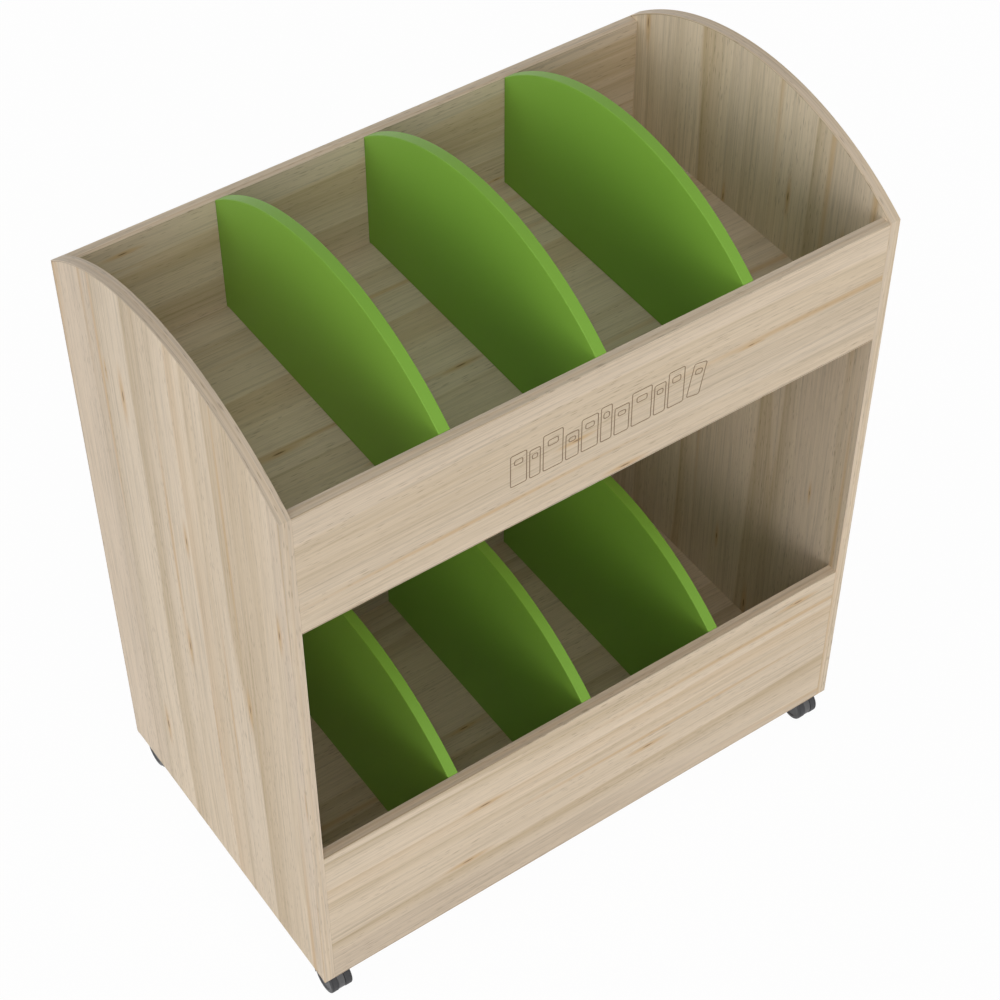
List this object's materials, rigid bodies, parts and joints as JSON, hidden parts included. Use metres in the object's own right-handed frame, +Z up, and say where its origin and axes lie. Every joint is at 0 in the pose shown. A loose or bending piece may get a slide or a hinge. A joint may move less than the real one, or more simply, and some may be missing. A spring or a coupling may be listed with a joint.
{
  "type": "picture book browser bin",
  "caption": "Mobile book browser bin in wood-grain board with arched ends, green arched dividers in an upper and a lower tray, an open front window and swivel casters.",
  "frame": {"origin": "on the floor under the centre of the footprint, level with the bottom of the wheels", "axes": "+X to the right seen from the front, +Y from front to back, +Z up"},
  "size_m": [1.01, 0.6, 1.212],
  "materials": {
    "wood_board": "pale wood-grain melamine on board, matte",
    "wood_edging": "wood-print edging strip, matte",
    "green_board": "satin green coated board",
    "black_nylon": "moulded charcoal nylon",
    "wheel_polymer": "moulded dark wheel, satin",
    "zinc_steel": "zinc-plated steel"
  },
  "bodies": {
    "carcass": {"left_end_panel": "wood_board", "right_end_panel": "wood_board", "back_panel": "wood_board", "upper_front_panel": "wood_board", "lower_front_panel": "wood_board", "upper_tray_floor": "wood_board", "lower_tray_floor": "wood_board", "left_end_edging": "wood_edging", "right_end_edging": "wood_edging", "back_top_edging": "wood_edging", "upper_front_bottom_edging": "wood_edging", "upper_front_top_edging": "wood_edging", "lower_front_bottom_edging": "wood_edging", "lower_front_top_edging": "wood_edging", "upper_divider_1": "green_board", "upper_divider_2": "green_board", "upper_divider_3": "green_board", "lower_divider_1": "green_board", "lower_divider_2": "green_board", "lower_divider_3": "green_board", "front_left_caster_plate": "zinc_steel", "front_left_caster_kingpin": "zinc_steel", "front_left_caster_screw_1": "zinc_steel", "front_left_caster_screw_2": "zinc_steel", "front_left_caster_screw_3": "zinc_steel", "front_left_caster_screw_4": "zinc_steel", "front_right_caster_plate": "zinc_steel", "front_right_caster_kingpin": "zinc_steel", "front_right_caster_screw_1": "zinc_steel", "front_right_caster_screw_2": "zinc_steel", "front_right_caster_screw_3": "zinc_steel", "front_right_caster_screw_4": "zinc_steel", "back_left_caster_plate": "zinc_steel", "back_left_caster_kingpin": "zinc_steel", "back_left_caster_screw_1": "zinc_steel", "back_left_caster_screw_2": "zinc_steel", "back_left_caster_screw_3": "zinc_steel", "back_left_caster_screw_4": "zinc_steel", "back_right_caster_plate": "zinc_steel", "back_right_caster_kingpin": "zinc_steel", "back_right_caster_screw_1": "zinc_steel", "back_right_caster_screw_2": "zinc_steel", "back_right_caster_screw_3": "zinc_steel", "back_right_caster_screw_4": "zinc_steel"},
    "front_left_caster_swivel": {"front_left_caster_hood": "black_nylon", "front_left_caster_axle": "zinc_steel"},
    "front_left_caster_wheel_left": {"front_left_caster_wheel_left": "wheel_polymer"},
    "front_left_caster_wheel_right": {"front_left_caster_wheel_right": "wheel_polymer"},
    "front_right_caster_swivel": {"front_right_caster_hood": "black_nylon", "front_right_caster_axle": "zinc_steel"},
    "front_right_caster_wheel_left": {"front_right_caster_wheel_left": "wheel_polymer"},
    "front_right_caster_wheel_right": {"front_right_caster_wheel_right": "wheel_polymer"},
    "back_left_caster_swivel": {"back_left_caster_hood": "black_nylon", "back_left_caster_axle": "zinc_steel"},
    "back_left_caster_wheel_left": {"back_left_caster_wheel_left": "wheel_polymer"},
    "back_left_caster_wheel_right": {"back_left_caster_wheel_right": "wheel_polymer"},
    "back_right_caster_swivel": {"back_right_caster_hood": "black_nylon", "back_right_caster_axle": "zinc_steel"},
    "back_right_caster_wheel_left": {"back_right_caster_wheel_left": "wheel_polymer"},
    "back_right_caster_wheel_right": {"back_right_caster_wheel_right": "wheel_polymer"}
  },
  "joints": [
    {"name": "front_left_swivel", "type": "hinge", "parent": "carcass", "child": "front_left_caster_swivel", "pos_m": [-0.474, -0.253, 0.0635], "axis": [0, 0, 1], "continuous": true},
    {"name": "front_left_wheel_left_spin", "type": "hinge", "parent": "front_left_caster_swivel", "child": "front_left_caster_wheel_left", "pos_m": [-0.487, -0.273, 0.025], "axis": [1, 0, 0], "continuous": true},
    {"name": "front_left_wheel_right_spin", "type": "hinge", "parent": "front_left_caster_swivel", "child": "front_left_caster_wheel_right", "pos_m": [-0.461, -0.273, 0.025], "axis": [1, 0, 0], "continuous": true},
    {"name": "front_right_swivel", "type": "hinge", "parent": "carcass", "child": "front_right_caster_swivel", "pos_m": [0.474, -0.253, 0.0635], "axis": [0, 0, 1], "continuous": true},
    {"name": "front_right_wheel_left_spin", "type": "hinge", "parent": "front_right_caster_swivel", "child": "front_right_caster_wheel_left", "pos_m": [0.461, -0.273, 0.025], "axis": [1, 0, 0], "continuous": true},
    {"name": "front_right_wheel_right_spin", "type": "hinge", "parent": "front_right_caster_swivel", "child": "front_right_caster_wheel_right", "pos_m": [0.487, -0.273, 0.025], "axis": [1, 0, 0], "continuous": true},
    {"name": "back_left_swivel", "type": "hinge", "parent": "carcass", "child": "back_left_caster_swivel", "pos_m": [-0.474, 0.246, 0.0635], "axis": [0, 0, 1], "continuous": true},
    {"name": "back_left_wheel_left_spin", "type": "hinge", "parent": "back_left_caster_swivel", "child": "back_left_caster_wheel_left", "pos_m": [-0.487, 0.266, 0.025], "axis": [1, 0, 0], "continuous": true},
    {"name": "back_left_wheel_right_spin", "type": "hinge", "parent": "back_left_caster_swivel", "child": "back_left_caster_wheel_right", "pos_m": [-0.461, 0.266, 0.025], "axis": [1, 0, 0], "continuous": true},
    {"name": "back_right_swivel", "type": "hinge", "parent": "carcass", "child": "back_right_caster_swivel", "pos_m": [0.474, 0.246, 0.0635], "axis": [0, 0, 1], "continuous": true},
    {"name": "back_right_wheel_left_spin", "type": "hinge", "parent": "back_right_caster_swivel", "child": "back_right_caster_wheel_left", "pos_m": [0.461, 0.266, 0.025], "axis": [1, 0, 0], "continuous": true},
    {"name": "back_right_wheel_right_spin", "type": "hinge", "parent": "back_right_caster_swivel", "child": "back_right_caster_wheel_right", "pos_m": [0.487, 0.266, 0.025], "axis": [1, 0, 0], "continuous": true}
  ]
}
